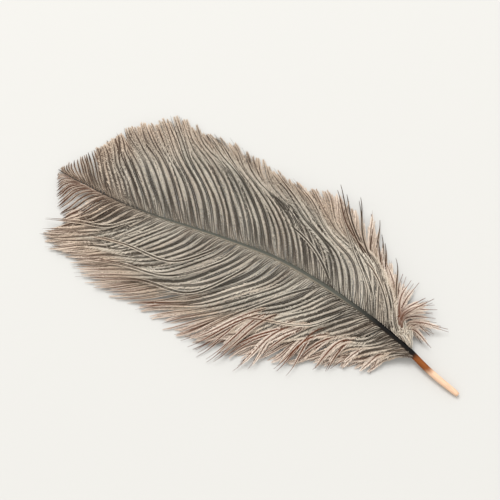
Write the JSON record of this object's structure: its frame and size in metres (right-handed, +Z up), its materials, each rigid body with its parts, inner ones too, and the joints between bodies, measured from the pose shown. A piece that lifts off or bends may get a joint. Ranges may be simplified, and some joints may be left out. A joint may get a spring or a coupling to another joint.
{
  "type": "ostrich feather",
  "caption": "Loose soft feather lying flat: a tapering, gently curved shaft with a bare quill and a broad vane of free, fluffy barbs on each side.",
  "frame": {"origin": "middle of the feather's box, on the surface that it lies on", "axes": "+X along the shaft from the tip to the quill, +Z up from the surface that the feather lies on"},
  "size_m": [0.178, 0.0832, 0.0072],
  "materials": {
    "shaft_horn": "satin horn: pale peach quill, rust brown, near black, then grey brown to the tip",
    "barbs": "matte fibres: dark brown ribs with pale grey-beige barbules, rust brown and peach at the tips"
  },
  "bodies": {
    "root": {"shaft": "shaft_horn", "vane_left": "barbs", "vane_right": "barbs"}
  },
  "joints": []
}
